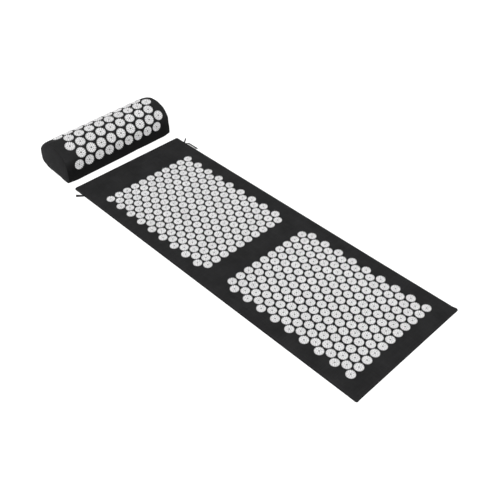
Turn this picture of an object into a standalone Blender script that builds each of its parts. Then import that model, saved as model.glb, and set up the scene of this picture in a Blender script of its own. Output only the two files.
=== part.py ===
"""Acupressure mat with its half-round neck pillow.

Metres, +Z up. The origin is the middle of the mat's underside, on the floor.
+Y runs along the mat to its head end, where the pillow lies, and +X across it.
Both covers are cloth shells round a foam core, closed by a zip, and carry
staggered rows of moulded plastic discs with spikes.
"""
import math
from collections import namedtuple

import bmesh
import bpy
from mathutils import Matrix, Vector

# Mat
mat_width = 0.480
mat_length = 1.300
mat_thickness = 0.015
mat_corner_radius = 0.005
edge_round_width = 0.0040
edge_round_height = 0.0030
corner_steps = 4
edge_steps = 2

# Cloth, foam and the clearance between pieces that touch
cloth_thickness = 0.0010
touch_gap = 0.0003
sharp_angle = math.radians(20)

# Fields of discs on the mat
mat_disc_pitch = 0.0360
mat_row_pitch = 0.0288
head_margin = 0.1451
gap_between_fields = 0.1092
least_foot_margin = 0.0600
least_side_margin = 0.0550
head_field_side_shift = -0.0092
foot_field_side_shift = -0.0054

# Discs: plate across its points, plate height, height of the spikes above it, centre hole
Disc = namedtuple("Disc", "diameter plate spike hole")
mat_disc = Disc(diameter=0.0308, plate=0.0016, spike=0.0027, hole=0.0040)
pillow_disc = Disc(diameter=0.0390, plate=0.0019, spike=0.0031, hole=0.0048)
disc_petals = 10
plain_disc_sides = 6
pillow_plain_disc_sides = 8
plate_taper_share = 0.93
outer_spikes_share = 0.62
disc_sink_share = 0.5

# Pillow
pillow_length = 0.494
pillow_depth = 0.163
pillow_height = 0.1265
pillow_side_height = 0.0737
arch_roundness = 1.87
arch_samples = 240
pillow_gap = 0.0555
pillow_side_shift = 0.011
pillow_turn = math.radians(1.0)
end_crown = 0.012
end_draw_length = 0.020
end_draw_share = 0.955
end_ring_shares = (0.88, 0.66, 0.36)
end_centre_share = 0.45
slope_share = 1.3
pillow_disc_pitch = 0.0458
pillow_row_pitch = 0.0395
front_foot_height = 0.0410
least_back_foot_height = 0.0260
least_pillow_side_margin = 0.0420
pillow_field_shift = 0.003

# Zips
chain_width = 0.0034
chain_height = 0.0015
tape_thickness = 0.0006
tape_width = 0.0042
window_margin = 0.0015
mat_zip_left_run = 0.056
mat_zip_right_run = 0.044
pillow_zip_margin = 0.040
pillow_zip_rise = 0.0150

# Sliders and pull tabs
slider_length = 0.0085
slider_wall = 0.0007
slider_plate = 0.0009
lug_reach = 0.0034
lug_thickness = 0.0005
lug_length = 0.0026
lug_seat_share = 0.5
hinge_pin_diameter = 0.0011
hinge_pin_offset = 0.0024
pull_length = 0.0235
pull_width = 0.0036
pull_tip_width = 0.0074
pull_thickness = 0.0016
pull_eye_diameter = 0.0036
pull_eye_hole = 0.0018
eye_steps = 8
pin_sides = 8
left_pull_angle = math.radians(137)
right_pull_angle = math.radians(38)
pillow_pull_angle = math.radians(12)

# Side label
label_width = 0.055
label_reach = 0.0225
label_thickness = 0.0011
label_head_distance = 0.0460
label_drop_shares = ((0.0, 0.0), (0.28, 0.30), (0.66, 0.82), (1.0, 1.0))

# Derived from the sizes above, with as many rows and discs as there is room for
field_room = (mat_length-head_margin-gap_between_fields-least_foot_margin)/2
rows_per_field = int(field_room/mat_row_pitch)+1
long_row_discs = int((mat_width-2*least_side_margin)/mat_disc_pitch)+1
pillow_row_room = pillow_length-2*least_pillow_side_margin-pillow_disc_pitch/2
pillow_row_discs = int(pillow_row_room/pillow_disc_pitch)+1
pillow_zip_length = pillow_length-2*pillow_zip_margin
seam_height = mat_thickness/2
pillow_front = mat_length/2+pillow_gap
pillow_middle = pillow_front+pillow_depth/2
window_half = chain_width/2+window_margin
tape_inset = cloth_thickness+touch_gap
core_inset = tape_inset+tape_thickness+touch_gap


for old in list(bpy.data.objects):
    bpy.data.objects.remove(old, do_unlink=True)


def material(name, colour, roughness, metallic=0.0):
    """One Principled material for one object."""
    made = bpy.data.materials.new(name)
    made.use_nodes = True
    shader = made.node_tree.nodes["Principled BSDF"]
    shader.inputs["Base Color"].default_value = (*colour, 1.0)
    shader.inputs["Roughness"].default_value = roughness
    shader.inputs["Metallic"].default_value = metallic
    made.diffuse_color = (*colour, 1.0)
    return made


black_cotton = ((0.022, 0.022, 0.023), 0.92)
grey_foam = ((0.45, 0.45, 0.47), 0.95)
white_plastic = ((0.78, 0.78, 0.76), 0.45)
zip_tape = ((0.015, 0.015, 0.016), 0.85)
zip_nylon = ((0.030, 0.030, 0.032), 0.50)
zip_metal = ((0.040, 0.040, 0.042), 0.35, 0.8)
black_ribbon = ((0.018, 0.018, 0.019), 0.80)


def add_object(name, mesh_builder, finish):
    """Turn a bmesh into a named object with its own material."""
    bmesh.ops.recalc_face_normals(mesh_builder, faces=mesh_builder.faces)
    mesh = bpy.data.meshes.new(name)
    mesh_builder.to_mesh(mesh)
    mesh_builder.free()
    made = bpy.data.objects.new(name, mesh)
    bpy.context.scene.collection.objects.link(made)
    made.data.materials.append(material(name, *finish))
    return made


def bridge_rows(bm, rows, closed=False):
    """Faces between rows of points, all rows with the same number of points."""
    made = [[bm.verts.new(point) for point in row] for row in rows]
    for here, there in zip(made, made[1:]):
        for index in range(len(here) if closed else len(here)-1):
            follow = (index+1) % len(here)
            bm.faces.new((here[index], here[follow], there[follow], there[index]))
    return made


def closed_loft(rows):
    """A closed solid through closed rows of points, capped at both ends."""
    bm = bmesh.new()
    made = bridge_rows(bm, rows, closed=True)
    bm.faces.new(made[0])
    bm.faces.new(made[-1])
    return bm


def smooth(made):
    """Shade an object smooth over its gentle edges."""
    made.data.shade_smooth()
    made.data.set_sharp_from_angle(angle=sharp_angle)


def as_cutter(made):
    """Keep an object for a Boolean only."""
    made.hide_render = True
    made.display_type = 'WIRE'


def join_by_boolean(target, tool):
    """Fuse the tool's shapes into the target."""
    as_cutter(tool)
    fuse = target.modifiers.new(tool.name, 'BOOLEAN')
    fuse.operation = 'UNION'
    fuse.solver = 'EXACT'
    fuse.object = tool


def add_cloth(name, skin, far, inwards=True):
    """Turn an open skin into cloth with a thickness.

    far points to the skin's outermost face. The cloth grows inwards from the
    skin, or outwards from it.
    """
    bmesh.ops.recalc_face_normals(skin, faces=skin.faces)
    far = Vector(far)
    outermost = max(skin.faces, key=lambda face: face.calc_center_median().dot(far))
    wanted = far if inwards else -far
    if outermost.normal.dot(wanted) < 0:
        bmesh.ops.reverse_faces(skin, faces=skin.faces)
    mesh = bpy.data.meshes.new(name)
    skin.to_mesh(mesh)
    skin.free()
    made = bpy.data.objects.new(name, mesh)
    bpy.context.scene.collection.objects.link(made)
    made.data.materials.append(material(name, *black_cotton))
    wall = made.modifiers.new("cloth", 'SOLIDIFY')
    wall.thickness = cloth_thickness
    wall.offset = -1.0
    wall.use_even_offset = True
    return made


# Mat outline and cloth

def mat_outline(inset):
    """Points round the mat at an inset, counter-clockwise from above, as (x, y).

    They start at the left end of the zip, run down the left edge, round the
    foot and up the right edge to the right end of the zip, then round the head.
    """
    half_x = mat_width/2-inset
    half_y = mat_length/2-inset
    radius = max(mat_corner_radius-inset, touch_gap)
    centres = [(-1, -1, math.pi), (1, -1, 1.5*math.pi), (1, 1, 0.0), (-1, 1, 0.5*math.pi)]
    points = []
    for side_x, side_y, start in centres:
        for step in range(corner_steps+1):
            angle = start+0.5*math.pi*step/corner_steps
            points.append((side_x*(half_x-radius)+radius*math.cos(angle),
                           side_y*(half_y-radius)+radius*math.sin(angle)))
        if (side_x, side_y) == (1, -1):
            right_end = mat_length/2-mat_zip_right_run
            points.append((half_x, right_end-window_margin))
            points.append((half_x, right_end))
    left_end = mat_length/2-mat_zip_left_run
    points.append((-half_x, left_end))
    points.append((-half_x, left_end-window_margin))
    return points


zip_path_start = 2*(corner_steps+1)+1
zip_path_end = 4*(corner_steps+1)+2


def zip_path(inset):
    """The stretch of the outline that the mat's zip follows, from right to left."""
    return mat_outline(inset)[zip_path_start:zip_path_end+1]


def on_zip(index):
    """Whether a point of the outline borders the zip's window."""
    return zip_path_start <= index <= zip_path_end


def mat_cloth_rings(face_z, wall_z, window_z):
    """Rings from a cover's flat face over its rounded edge to the rim of its wall."""
    direction = 1 if face_z > wall_z else -1
    rings = []
    for step in range(edge_steps+1):
        angle = 0.5*math.pi*step/edge_steps
        inset = edge_round_width*(1-math.sin(angle))
        height = face_z-direction*edge_round_height*(1-math.cos(angle))
        rings.append([(x, y, height) for x, y in mat_outline(inset)])
    rim = []
    for index, (x, y) in enumerate(mat_outline(0)):
        rim.append((x, y, window_z if on_zip(index) else wall_z))
    rings.append(rim)
    return rings


def make_mat_covers():
    """The top and base covers, met at the seam, with the zip's window at the head."""
    top_rings = mat_cloth_rings(mat_thickness, seam_height+touch_gap/2, seam_height+window_half)
    base_rings = mat_cloth_rings(0, seam_height-touch_gap/2, seam_height-window_half)
    covers = []
    for name, rings, up in (("mat_base_cover", base_rings, -1), ("mat_top_cover", top_rings, 1)):
        skin = bmesh.new()
        made = bridge_rows(skin, rings, closed=True)
        skin.faces.new(made[0])
        covers.append(add_cloth(name, skin, far=(0, 0, up)))
    return covers[1]


def make_mat_core():
    """The foam slab, clear of the covers and of the zip's tapes all round."""
    low = cloth_thickness+touch_gap
    high = mat_thickness-low
    levels = [(core_inset+edge_round_width, high), (core_inset, high-edge_round_height),
              (core_inset, low+edge_round_height), (core_inset+edge_round_width, low)]
    rings = [[(x, y, z) for x, y in mat_outline(inset)] for inset, z in levels]
    add_object("mat_foam_core", closed_loft(rings), grey_foam)


# Discs

def disc_profile(size, petals):
    """A moulded disc at the origin, its underside at z = 0, spikes up, hole through it."""
    bm = bmesh.new()
    radius = size.diameter/2
    bmesh.ops.create_circle(bm, segments=petals, radius=radius, cap_ends=True)
    underside = bm.faces[:]
    raised = bmesh.ops.extrude_face_region(bm, geom=underside)
    top_verts = [item for item in raised["geom"] if isinstance(item, bmesh.types.BMVert)]
    bmesh.ops.translate(bm, verts=top_verts, vec=(0, 0, size.plate))
    bmesh.ops.scale(bm, verts=top_verts, vec=(plate_taper_share, plate_taper_share, 1.0))
    top = max(bm.faces, key=lambda face: face.calc_center_median().z)
    bottom = min(bm.faces, key=lambda face: face.calc_center_median().z)
    hole_radius = size.hole/2
    ring_width = (radius*plate_taper_share-hole_radius)*math.cos(math.pi/petals)
    outer = bmesh.ops.inset_region(bm, faces=[top], thickness=ring_width*outer_spikes_share)["faces"]
    inner = bmesh.ops.inset_region(bm, faces=[top], thickness=ring_width*(1-outer_spikes_share))["faces"]
    bmesh.ops.inset_region(bm, faces=[bottom], thickness=(radius-hole_radius)*math.cos(math.pi/petals))
    top_loop = list(top.edges)
    bottom_loop = list(bottom.edges)
    bmesh.ops.delete(bm, geom=[top, bottom], context='FACES_ONLY')
    bmesh.ops.bridge_loops(bm, edges=top_loop+bottom_loop)
    bmesh.ops.poke(bm, faces=outer, offset=size.spike)
    bmesh.ops.poke(bm, faces=inner, offset=size.spike)
    bmesh.ops.recalc_face_normals(bm, faces=bm.faces)
    return bm


def plain_discs(name, places, size, sides):
    """Low cones for the discs that are fused with their cloth, as one cutter object."""
    bm = bmesh.new()
    sink = cloth_thickness*disc_sink_share
    for place in places:
        made = bmesh.ops.create_cone(bm, cap_ends=True, segments=sides, radius1=size.diameter/2,
                                     radius2=size.diameter/2*plate_taper_share,
                                     depth=size.plate+sink)
        bmesh.ops.translate(bm, verts=made["verts"], vec=(0, 0, (size.plate-sink)/2))
        faces = {face for vert in made["verts"] for face in vert.link_faces}
        cap = max(faces, key=lambda face: face.calc_center_median().z)
        crown = bmesh.ops.poke(bm, faces=[cap], offset=size.spike)
        bmesh.ops.transform(bm, matrix=place, verts=made["verts"]+crown["verts"])
    return add_object(name, bm, white_plastic)


def mat_disc_rows():
    """Rows of disc centres on the mat, from the head to the foot."""
    rows = []
    first = mat_length/2-head_margin
    for field, side_shift in enumerate((head_field_side_shift, foot_field_side_shift)):
        for row in range(rows_per_field):
            long_row = (row+field) % 2 == 0
            count = long_row_discs if long_row else long_row_discs-1
            y = first-row*mat_row_pitch
            start = side_shift-(count-1)/2*mat_disc_pitch
            rows.append([(start+step*mat_disc_pitch, y) for step in range(count)])
        first -= (rows_per_field-1)*mat_row_pitch+gap_between_fields
    return rows


def make_mat_discs(top_cover):
    """The head row as separate moulded discs, the other rows fused with the cover."""
    rows = mat_disc_rows()
    for number, (x, y) in enumerate(rows[0], start=1):
        disc = add_object(f"mat_disc_{number:02d}", disc_profile(mat_disc, disc_petals), white_plastic)
        disc.location = (x, y, mat_thickness+touch_gap)
        smooth(disc)
    places = [Matrix.Translation((x, y, mat_thickness)) for row in rows[1:] for x, y in row]
    join_by_boolean(top_cover, plain_discs("mat_disc_fields", places, mat_disc, plain_disc_sides))


# Zips, sliders and pull tabs

def strip_along(path_outer, path_inner, low, high):
    """A closed strip between two level paths and two heights."""
    stations = []
    for outer, inner in zip(path_outer, path_inner):
        stations.append([(*outer, low), (*inner, low), (*inner, high), (*outer, high)])
    return closed_loft(stations)


def make_tapes(prefix, outer, inner, middle_z):
    """Upper and lower tape of a zip, behind the cloth on both sides of its window."""
    upper_low = middle_z+touch_gap/2
    lower_high = middle_z-touch_gap/2
    upper = strip_along(outer, inner, upper_low, upper_low+tape_width)
    lower = strip_along(outer, inner, lower_high-tape_width, lower_high)
    add_object(f"{prefix}_zip_upper_tape", upper, zip_tape)
    add_object(f"{prefix}_zip_lower_tape", lower, zip_tape)


def make_chain(prefix, outer, inner, middle_z):
    """The closed chain of the zip, a bead in front of the two tapes' edges."""
    bead = strip_along(outer, inner, middle_z-chain_width/2, middle_z+chain_width/2)
    add_object(f"{prefix}_zip_chain", bead, zip_nylon)


def chain_front():
    """How far the chain's face stands out of the cloth's outer face."""
    return chain_height-(tape_inset-touch_gap)


def slider_profile():
    """Half-round channel that hugs the chain, seen along the zip, as (out, up) points."""
    reach = chain_width/2+touch_gap
    front = chain_front()+touch_gap
    back = front-chain_height
    return [(back, reach+slider_wall), (front+slider_plate, reach+slider_wall),
            (front+slider_plate, -reach-slider_wall), (back, -reach-slider_wall),
            (back, -reach), (front, -reach), (front, reach), (back, reach)]


def box_between(bm, low, high):
    """A box between two corners."""
    low, high = Vector(low), Vector(high)
    size = high-low
    place = Matrix.Translation((low+high)/2) @ Matrix.Diagonal((*size, 1.0))
    return bmesh.ops.create_cube(bm, size=1.0, matrix=place)["verts"]


def make_slider(name, place):
    """A slider: channel over the chain, two lugs on its plate and the pull's hinge pin.

    It is made looking along +X out of the cloth, the zip along Y, and then placed.
    """
    profile = slider_profile()
    bm = bmesh.new()
    ring = [bm.verts.new((out, -slider_length/2, up)) for out, up in profile]
    swept = bmesh.ops.extrude_face_region(bm, geom=[bm.faces.new(ring)])
    moved = [item for item in swept["geom"] if isinstance(item, bmesh.types.BMVert)]
    bmesh.ops.translate(bm, verts=moved, vec=(0, slider_length, 0))
    slider = add_object(name, bm, zip_metal)

    plate_front = chain_front()+touch_gap+slider_plate
    lugs = bmesh.new()
    overlap = slider_plate*lug_seat_share
    top = pull_width/2+touch_gap
    for side in (-1, 1):
        low = min(side*top, side*(top+lug_thickness))
        box_between(lugs, (plate_front-overlap, -lug_length/2, low),
                    (plate_front+lug_reach, lug_length/2, low+lug_thickness))
    lugs_tool = add_object(f"{name}_lugs", lugs, zip_metal)
    pin = bmesh.new()
    bmesh.ops.create_cone(pin, cap_ends=True, segments=pin_sides, radius1=hinge_pin_diameter/2,
                          radius2=hinge_pin_diameter/2, depth=2*top+lug_thickness,
                          matrix=Matrix.Translation((plate_front+hinge_pin_offset, 0, 0)))
    pin_tool = add_object(f"{name}_pin", pin, zip_metal)
    for tool in (lugs_tool, pin_tool):
        tool.parent = slider
        join_by_boolean(slider, tool)
    slider.matrix_world = place
    return slider


def pull_hinge():
    """Where the pull's pin stands in the slider's own frame, looking along +X."""
    return Vector((chain_front()+touch_gap+slider_plate+hinge_pin_offset, 0, 0))


def make_pull(name, place, angle):
    """A flat pull tab with its eye round the pin, its origin on the pin, turned by an angle."""
    bm = bmesh.new()
    eye = pull_eye_diameter/2
    half = pull_thickness/2
    leaf_start = math.asin(half/eye)
    outline = []
    for step in range(eye_steps+1):
        turn = leaf_start+2*(math.pi-leaf_start)*step/eye_steps
        outline.append((eye*math.cos(turn), eye*math.sin(turn)))
    outline += [(pull_length, -half), (pull_length, half)]
    low = [bm.verts.new((x, y, -pull_width/2)) for x, y in outline]
    body = bmesh.ops.extrude_face_region(bm, geom=[bm.faces.new(low)])
    moved = [item for item in body["geom"] if isinstance(item, bmesh.types.BMVert)]
    bmesh.ops.translate(bm, verts=moved, vec=(0, 0, pull_width))
    tips = [vert for vert in bm.verts if vert.co.x > pull_eye_diameter]
    bmesh.ops.scale(bm, verts=tips, vec=(1.0, 1.0, pull_tip_width/pull_width))
    pull = add_object(name, bm, zip_metal)
    bore = bmesh.new()
    bmesh.ops.create_cone(bore, cap_ends=True, segments=pin_sides, radius1=pull_eye_hole/2,
                          radius2=pull_eye_hole/2, depth=2*pull_width)
    tool = add_object(f"{name}_bore", bore, zip_metal)
    as_cutter(tool)
    tool.parent = pull
    cut = pull.modifiers.new("eye", 'BOOLEAN')
    cut.operation = 'DIFFERENCE'
    cut.solver = 'EXACT'
    cut.object = tool
    pull.matrix_world = place @ Matrix.Translation(pull_hinge()) @ Matrix.Rotation(angle, 4, 'Z')
    return pull


def make_mat_zip():
    """Tapes, chain, two sliders and two pulls round the mat's head end."""
    make_tapes("mat", zip_path(tape_inset), zip_path(tape_inset+tape_thickness), seam_height)
    chain_back = tape_inset-touch_gap
    make_chain("mat", zip_path(chain_back-chain_height), zip_path(chain_back), seam_height)
    half_turn = Matrix.Rotation(math.pi, 4, 'Z')
    left_y = mat_length/2-mat_zip_left_run+slider_length/2
    right_y = mat_length/2-mat_zip_right_run+slider_length/2
    left = Matrix.Translation((-mat_width/2, left_y, seam_height)) @ half_turn
    right = Matrix.Translation((mat_width/2, right_y, seam_height))
    make_slider("mat_zip_slider_left", left)
    make_pull("mat_zip_pull_left", left, left_pull_angle-math.pi)
    make_slider("mat_zip_slider_right", right)
    make_pull("mat_zip_pull_right", right, right_pull_angle)


def make_side_label():
    """A folded ribbon sewn into the right seam beside the zip, hanging to the floor."""
    bm = bmesh.new()
    rest_z = label_thickness/2+touch_gap
    high_y = mat_length/2-label_head_distance
    rows = []
    for out_share, drop_share in label_drop_shares:
        x = mat_width/2+touch_gap+out_share*label_reach
        z = seam_height+(rest_z-seam_height)*drop_share
        rows.append([(x, high_y, z), (x, high_y-label_width, z)])
    bridge_rows(bm, rows)
    label = add_object("mat_side_label", bm, black_ribbon)
    layers = label.modifiers.new("folded ribbon", 'SOLIDIFY')
    layers.thickness = label_thickness
    layers.offset = 0.0
    layers.use_even_offset = True


# Pillow

def arch_points():
    """The pillow's smooth section from front floor edge to back floor edge, as (y, z)."""
    half = pillow_depth/2
    rise = pillow_height-pillow_side_height
    power = 2/arch_roundness
    points = [(-half, 0)]
    for step in range(arch_samples+1):
        angle = math.pi*step/arch_samples
        across, up = math.cos(angle), math.sin(angle)
        y = -half*math.copysign(abs(across)**power, across)
        points.append((y, pillow_side_height+rise*abs(up)**power))
    points.append((half, 0))
    return points


def arch_corners():
    """Corners of the section: one flat for each row of discs, as (y, z) from front to back."""
    points = arch_points()
    arch_length = sum(math.dist(here, there) for here, there in zip(points, points[1:]))
    rows = int((arch_length-front_foot_height-least_back_foot_height)/pillow_row_pitch)
    wanted = [front_foot_height+row*pillow_row_pitch for row in range(rows+1)]
    corners = []
    walked = 0.0
    for (y0, z0), (y1, z1) in zip(points, points[1:]):
        length = math.hypot(y1-y0, z1-z0)
        while wanted and walked+length >= wanted[0]:
            share = (wanted.pop(0)-walked)/length
            corners.append((y0+(y1-y0)*share, z0+(z1-z0)*share))
        walked += length
    return corners


def pillow_section(inset):
    """The section's corners at an inset, from the front foot to the back foot."""
    feet = [Vector((-pillow_depth/2, 0)), Vector((pillow_depth/2, 0))]
    corners = [feet[0]]+[Vector(corner) for corner in arch_corners()]+[feet[1]]
    inward = []
    for here, there in zip(corners, corners[1:]):
        along = (there-here).normalized()
        inward.append(Vector((along.y, -along.x)))
    sides = zip(corners, inward[:1]+inward, inward+inward[-1:])
    return [corner+(before+after)*inset/(1+before.dot(after)) for corner, before, after in sides]


def pillow_seam_x():
    """Half the length of the pillow's arched cloth, from seam to seam."""
    return pillow_length/2-end_crown


def section_at(section, x, share, foot_z, back_z):
    """A section at a place along the pillow, drawn in by a share, in the object's frame."""
    ring = [[pillow_side_shift+x, pillow_middle+point.x*share, point.y*share] for point in section]
    ring[0][2] = foot_z
    ring[-1][2] = back_z
    return ring


def pillow_stations():
    """Places along the pillow, how far it is drawn in there and half the zip's window."""
    seam = pillow_seam_x()
    zip_end = pillow_zip_length/2
    half = [(zip_end, 1.0, window_half), (zip_end+window_margin, 1.0, touch_gap/2),
            (seam-end_draw_length, 1.0, touch_gap/2), (seam, end_draw_share, touch_gap/2)]
    return [(-x, share, window) for x, share, window in half[::-1]]+half


def make_pillow_cover():
    """The arched cloth, one flat strip under each row of discs, drawn in at both ends."""
    floor_z = cloth_thickness+touch_gap
    section = pillow_section(0)
    rows = []
    for x, share, window in pillow_stations():
        rows.append(section_at(section, x, share, floor_z, pillow_zip_rise+window))
    skin = bmesh.new()
    bridge_rows(skin, rows)
    return add_cloth("pillow_top_cover", skin, far=(0, 0, 1))


def pillow_disc_places():
    """Frames of the pillow's discs, row by row from the front, z out of the cloth."""
    corners = arch_corners()
    rows = []
    for row, ((y0, z0), (y1, z1)) in enumerate(zip(corners, corners[1:])):
        along = Vector((0, y1-y0, z1-z0)).normalized()
        outward = Vector((0, -along.z, along.y))
        turn = Matrix((Vector((1, 0, 0)), along, outward)).transposed().to_4x4()
        middle = Vector((0, pillow_middle+(y0+y1)/2, (z0+z1)/2))
        stagger = pillow_disc_pitch/4*(1 if row % 2 else -1)
        start = pillow_side_shift+pillow_field_shift+stagger-(pillow_row_discs-1)/2*pillow_disc_pitch
        places = []
        for step in range(pillow_row_discs):
            spot = middle+Vector((start+step*pillow_disc_pitch, 0, 0))
            places.append(Matrix.Translation(spot) @ turn)
        rows.append(places)
    return rows


def make_pillow_discs(cover):
    """The front row as separate moulded discs, the other rows fused with the cover."""
    rows = pillow_disc_places()
    lift = Matrix.Translation((0, 0, touch_gap))
    for number, place in enumerate(rows[0], start=1):
        disc = add_object(f"pillow_disc_{number:02d}", disc_profile(pillow_disc, disc_petals), white_plastic)
        disc.matrix_world = place @ lift
        smooth(disc)
    places = [place for row in rows[1:] for place in row]
    tool = plain_discs("pillow_disc_field", places, pillow_disc, pillow_plain_disc_sides)
    join_by_boolean(cover, tool)


def make_pillow_base():
    """Flat base cloth under the foam, with an upstand at the back below the zip."""
    half_y = pillow_depth/2
    front = []
    back = []
    raised = []
    for x, share, window in pillow_stations():
        place_x = pillow_side_shift+x
        front.append((place_x, pillow_middle-half_y*share, 0))
        back.append((place_x, pillow_middle+half_y*share, 0))
        raised.append((place_x, pillow_middle+half_y*share, pillow_zip_rise-window))
    skin = bmesh.new()
    bridge_rows(skin, [front, back, raised])
    add_cloth("pillow_base_cover", skin, far=(0, 0, -1))


def end_ring(outline, side, share, set_back):
    """A D-shaped ring of the crowned end, shrunk by a share towards its middle."""
    centre_z = pillow_height*end_centre_share
    bulge = (end_crown-cloth_thickness-touch_gap)*math.sqrt(1-share*share)
    x = pillow_side_shift+side*(pillow_seam_x()+touch_gap+bulge-set_back)
    return [(x, pillow_middle+y*share, centre_z+(z-centre_z)*share) for y, z in outline]


def end_outline(inset):
    """The D-shaped outline where the arched cloth ends, at an inset, as (y, z)."""
    floor_z = cloth_thickness+touch_gap
    return [(point.x*end_draw_share, max(point.y*end_draw_share, floor_z)) for point in pillow_section(inset)]


def make_pillow_ends():
    """Two D-shaped end panels, crowned outwards by the foam behind them."""
    outline = end_outline(0)
    for name, side in (("pillow_end_left", -1), ("pillow_end_right", 1)):
        skin = bmesh.new()
        rings = [end_ring(outline, side, share, 0) for share in (1.0,)+end_ring_shares]
        made = bridge_rows(skin, rings, closed=True)
        skin.faces.new(made[-1])
        add_cloth(name, skin, far=(side, 0, 0), inwards=False)


def make_pillow_core():
    """The half-round foam block, its ends crowned to fill the end panels."""
    inset = cloth_thickness+touch_gap
    back_limit = pillow_depth/2-core_inset
    body = [(min(point.x, back_limit), max(point.y, inset)) for point in pillow_section(inset)]
    slanted = end_outline(inset*slope_share)
    slanted = [(min(y, back_limit), z) for y, z in slanted]
    straight_x = pillow_seam_x()-end_draw_length
    rings = []
    for side in (-1, 1):
        half = [[(pillow_side_shift+side*straight_x, pillow_middle+y, z) for y, z in body]]
        half += [end_ring(slanted, side, share, 2*touch_gap) for share in (1.0,)+end_ring_shares]
        rings += half[::-1] if side < 0 else half
    add_object("pillow_foam_core", closed_loft(rings), grey_foam)


def make_pillow_zip():
    """Tapes, chain, slider and pull low on the pillow's back."""
    back = pillow_front+pillow_depth
    start = pillow_side_shift-pillow_zip_length/2
    end = pillow_side_shift+pillow_zip_length/2

    def line(inset):
        return [(start, back-inset), (end, back-inset)]

    make_tapes("pillow", line(tape_inset), line(tape_inset+tape_thickness), pillow_zip_rise)
    chain_back = tape_inset-touch_gap
    make_chain("pillow", line(chain_back-chain_height), line(chain_back), pillow_zip_rise)
    quarter_turn = Matrix.Rotation(0.5*math.pi, 4, 'Z')
    place = Matrix.Translation((end-slider_length/2, back, pillow_zip_rise)) @ quarter_turn
    make_slider("pillow_zip_slider", place)
    make_pull("pillow_zip_pull", place, pillow_pull_angle)


def turn_pillow():
    """Turn the pillow a little about its own middle, as a loose roll lies."""
    middle = bpy.data.objects.new("pillow_place", None)
    bpy.context.scene.collection.objects.link(middle)
    middle.location = (pillow_side_shift, pillow_middle, 0)
    middle.rotation_euler.z = pillow_turn
    unplaced = Matrix.Translation(-middle.location)
    for piece in bpy.data.objects:
        if piece.name.startswith("pillow_") and piece is not middle and not piece.parent:
            piece.parent = middle
            piece.matrix_parent_inverse = unplaced


mat_cover = make_mat_covers()
make_mat_core()
make_mat_discs(mat_cover)
make_mat_zip()
make_side_label()
pillow_cover = make_pillow_cover()
make_pillow_discs(pillow_cover)
make_pillow_base()
make_pillow_ends()
make_pillow_core()
make_pillow_zip()
turn_pillow()
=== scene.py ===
import math
import random

import bmesh
import bpy
from mathutils import Matrix, Vector


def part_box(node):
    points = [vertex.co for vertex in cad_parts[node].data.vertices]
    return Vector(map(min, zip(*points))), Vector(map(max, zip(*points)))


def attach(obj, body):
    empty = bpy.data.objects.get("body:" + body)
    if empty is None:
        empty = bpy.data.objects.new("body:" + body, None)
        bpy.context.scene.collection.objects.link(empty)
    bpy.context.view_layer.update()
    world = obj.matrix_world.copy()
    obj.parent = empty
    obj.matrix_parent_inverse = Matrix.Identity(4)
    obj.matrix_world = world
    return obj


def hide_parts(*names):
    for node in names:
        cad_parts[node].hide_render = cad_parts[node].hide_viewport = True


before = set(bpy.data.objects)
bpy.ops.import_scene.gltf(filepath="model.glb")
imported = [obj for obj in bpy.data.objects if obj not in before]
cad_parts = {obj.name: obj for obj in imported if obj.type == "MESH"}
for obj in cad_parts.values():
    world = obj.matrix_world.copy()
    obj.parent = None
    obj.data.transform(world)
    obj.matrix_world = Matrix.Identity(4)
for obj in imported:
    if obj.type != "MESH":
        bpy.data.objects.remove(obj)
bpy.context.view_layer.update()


# Camera
# It stands beyond the mat's foot on the left and looks down along the mat's diagonal, as the
# mat's four straight edges and its two even fields of discs show.
view_heading = math.radians(-45.55)
view_drop = math.radians(41.82)
view_roll = math.radians(1.17)
view_place = Vector((-1.2689, -1.2490, 1.5759))
lens_mm = 51.446
film_width_mm = 36.0

camera_data = bpy.data.cameras.new("photo_camera")
camera_data.lens = lens_mm
camera_data.sensor_width = film_width_mm
camera = bpy.data.objects.new("photo_camera", camera_data)
camera.matrix_world = (Matrix.Translation(view_place)
                       @ Matrix.Rotation(view_heading, 4, 'Z')
                       @ Matrix.Rotation(math.pi/2-view_drop, 4, 'X')
                       @ Matrix.Rotation(view_roll, 4, 'Z'))
bpy.context.scene.collection.objects.link(camera)
bpy.context.scene.camera = camera
bpy.context.scene.view_settings.view_transform = 'Standard'


# Studio
# A plain pale floor in a white surround. One wide soft lamp hangs above the mat's foot on the
# left, and the even surround fills the rest.
floor_half_width = 8.0
floor_drop = 0.0006
floor_colour = (0.36, 0.36, 0.36, 1.0)
floor_glow = 0.93
floor_roughness = 0.9
surround_light = 0.36
lamp_direction = Vector((-0.62, -0.42, 0.66))
lamp_distance = 18.0
lamp_size = 13.5
lamp_power = 3100.0


def fill(tree, socket, value):
    """Link an input to another node's output, or set its plain value."""
    if isinstance(value, bpy.types.NodeSocket):
        tree.links.new(value, socket)
    else:
        socket.default_value = value


def add_node(tree, kind, inputs, **options):
    """Add a shader node, set its options and fill its inputs, named or numbered."""
    node = tree.nodes.new("ShaderNode"+kind)
    for option, value in options.items():
        setattr(node, option, value)
    for key, value in inputs.items():
        fill(tree, node.inputs[key], value)
    return node


def sum_up(tree, operation, first, second=0.0):
    """One step of arithmetic between two values."""
    return add_node(tree, "Math", {0: first, 1: second}, operation=operation).outputs[0]


def seen_as_background(tree):
    """1 for rays that show the background: straight, reflected and passed through."""
    path = add_node(tree, "LightPath", {}).outputs
    shown = sum_up(tree, 'MAXIMUM', path["Is Camera Ray"], path["Is Glossy Ray"])
    return sum_up(tree, 'MAXIMUM', shown, path["Is Transmission Ray"])


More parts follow.
